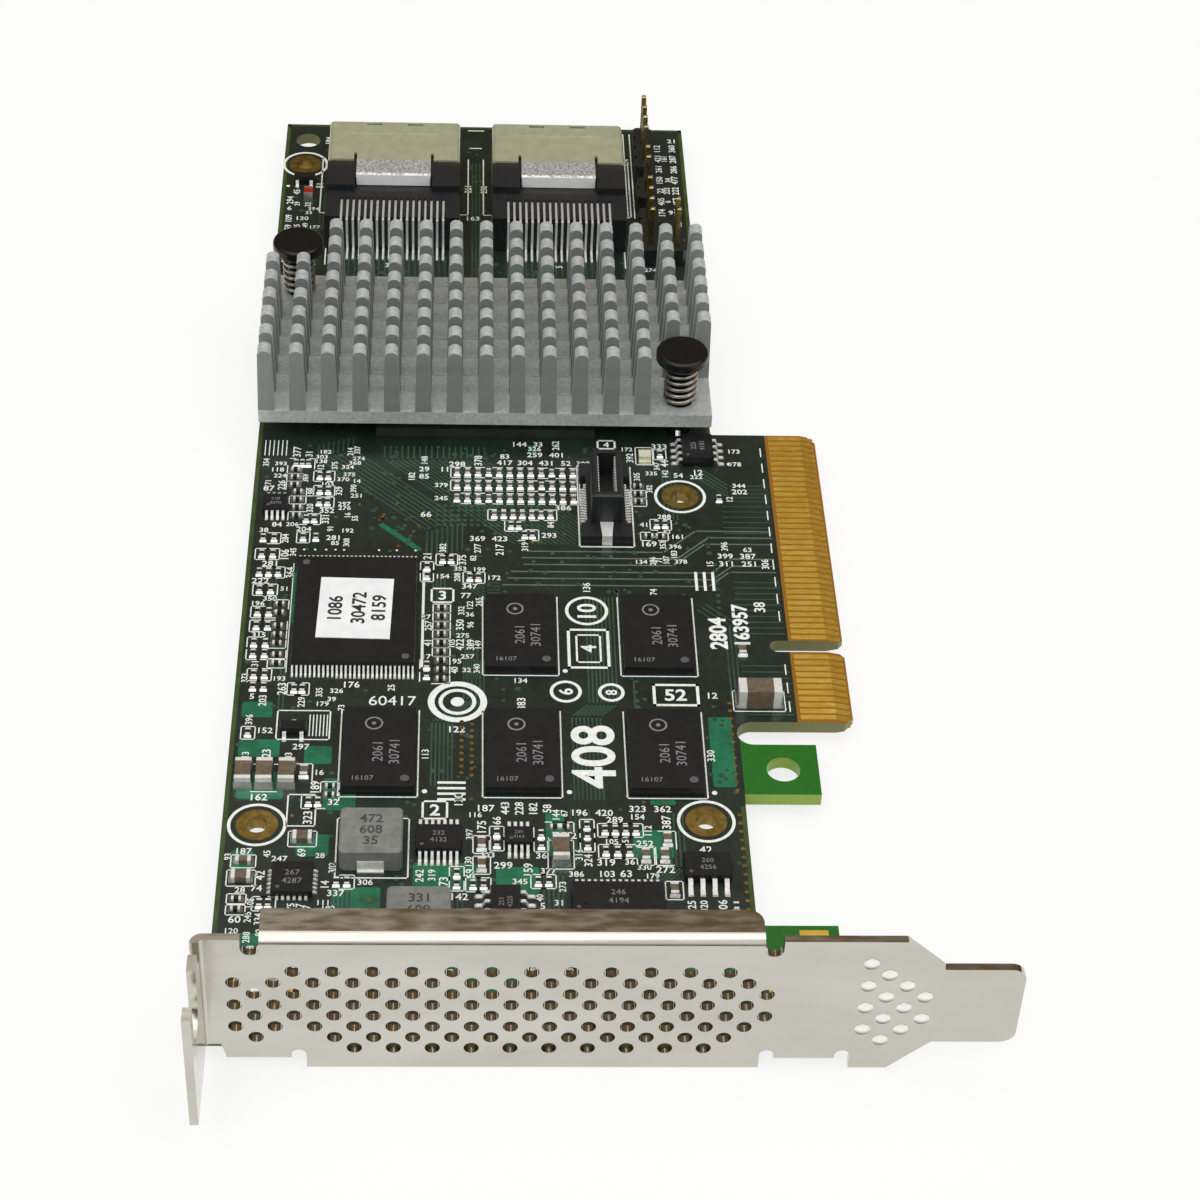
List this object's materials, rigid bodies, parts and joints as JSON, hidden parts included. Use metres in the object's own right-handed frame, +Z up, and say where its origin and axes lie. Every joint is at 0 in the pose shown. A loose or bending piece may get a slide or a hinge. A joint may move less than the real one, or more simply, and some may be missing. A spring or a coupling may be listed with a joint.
{
  "type": "raid controller card",
  "caption": "Low-profile expansion card with gold edge contacts, a pin heatsink held by sprung push pins, two shelled drive connectors and a perforated slot bracket.",
  "frame": {"origin": "middle of the card's footprint, at its lowest point, which is the bracket's lower edge and the push pins' tips", "axes": "+Z up from the component side, +Y along the card from the bracket to the drive connectors, +X towards the gold contacts"},
  "size_m": [0.0804, 0.179, 0.0185],
  "materials": {
    "solder_mask": "dark green solder mask over glass-epoxy",
    "gold_plate": "gold flash over nickel",
    "bracket_steel": "satin nickel-plated sheet steel",
    "screw_steel": "zinc-plated pan heads",
    "processor_package": "moulded package",
    "thermal_pad": "soft grey pad",
    "heatsink_aluminium": "clear anodised extrusion",
    "black_nylon": "moulded black nylon",
    "spring_steel": "bright spring wire",
    "shell_tin": "tin-plated copper alloy",
    "connector_black": "glass-filled polymer",
    "tinned_lead": "tinned copper alloy",
    "pin_gold": "pale gold flash on square wire",
    "chip_black": "moulded epoxy",
    "label_paper": "white paper label",
    "ferrite_grey": "pressed iron powder",
    "ceramic_brown": "fired ceramic",
    "resistor_black": "overglazed film",
    "light_body": "clear resin on a white foot",
    "fault_light_body": "red tinted resin"
  },
  "bodies": {
    "root": {"board_screws": "screw_steel", "chip_capacitor_ends": "tinned_lead", "chip_capacitors": "ceramic_brown", "chip_resistor_ends": "tinned_lead", "chip_resistors": "resistor_black", "circuit_board": "solder_mask", "clock_buffer": "chip_black", "drive_port_housing_left": "connector_black", "drive_port_housing_right": "connector_black", "drive_port_leads_left": "tinned_lead", "drive_port_leads_right": "tinned_lead", "drive_port_shell_left": "shell_tin", "drive_port_shell_right": "shell_tin", "edge_contacts": "gold_plate", "fault_light": "fault_light_body", "flash_chip": "chip_black", "flash_chip_label": "label_paper", "flash_chip_leads": "tinned_lead", "header_bases": "connector_black", "header_pins": "pin_gold", "heatsink": "heatsink_aluminium", "identity_chip": "chip_black", "inductor_terminals": "tinned_lead", "input_inductor": "ferrite_grey", "level_shifter": "chip_black", "memory_chip_1": "chip_black", "memory_chip_2": "chip_black", "memory_chip_3": "chip_black", "memory_chip_4": "chip_black", "memory_chip_5": "chip_black", "mezzanine_clips": "tinned_lead", "mezzanine_contacts": "tinned_lead", "mezzanine_housing": "connector_black", "output_inductor": "ferrite_grey", "plated_pads": "gold_plate", "power_controller": "chip_black", "power_switch": "chip_black", "push_pin_front": "black_nylon", "push_pin_rear": "black_nylon", "push_pin_spring_front": "spring_steel", "push_pin_spring_rear": "spring_steel", "raid_processor": "processor_package", "screw_pads": "gold_plate", "serial_memory": "chip_black", "slot_bracket": "bracket_steel", "small_chip_leads": "tinned_lead", "status_light": "light_body", "supervisor_chip": "chip_black", "temperature_sensor": "chip_black", "thermal_pad": "thermal_pad", "transistors": "chip_black"}
  },
  "joints": []
}
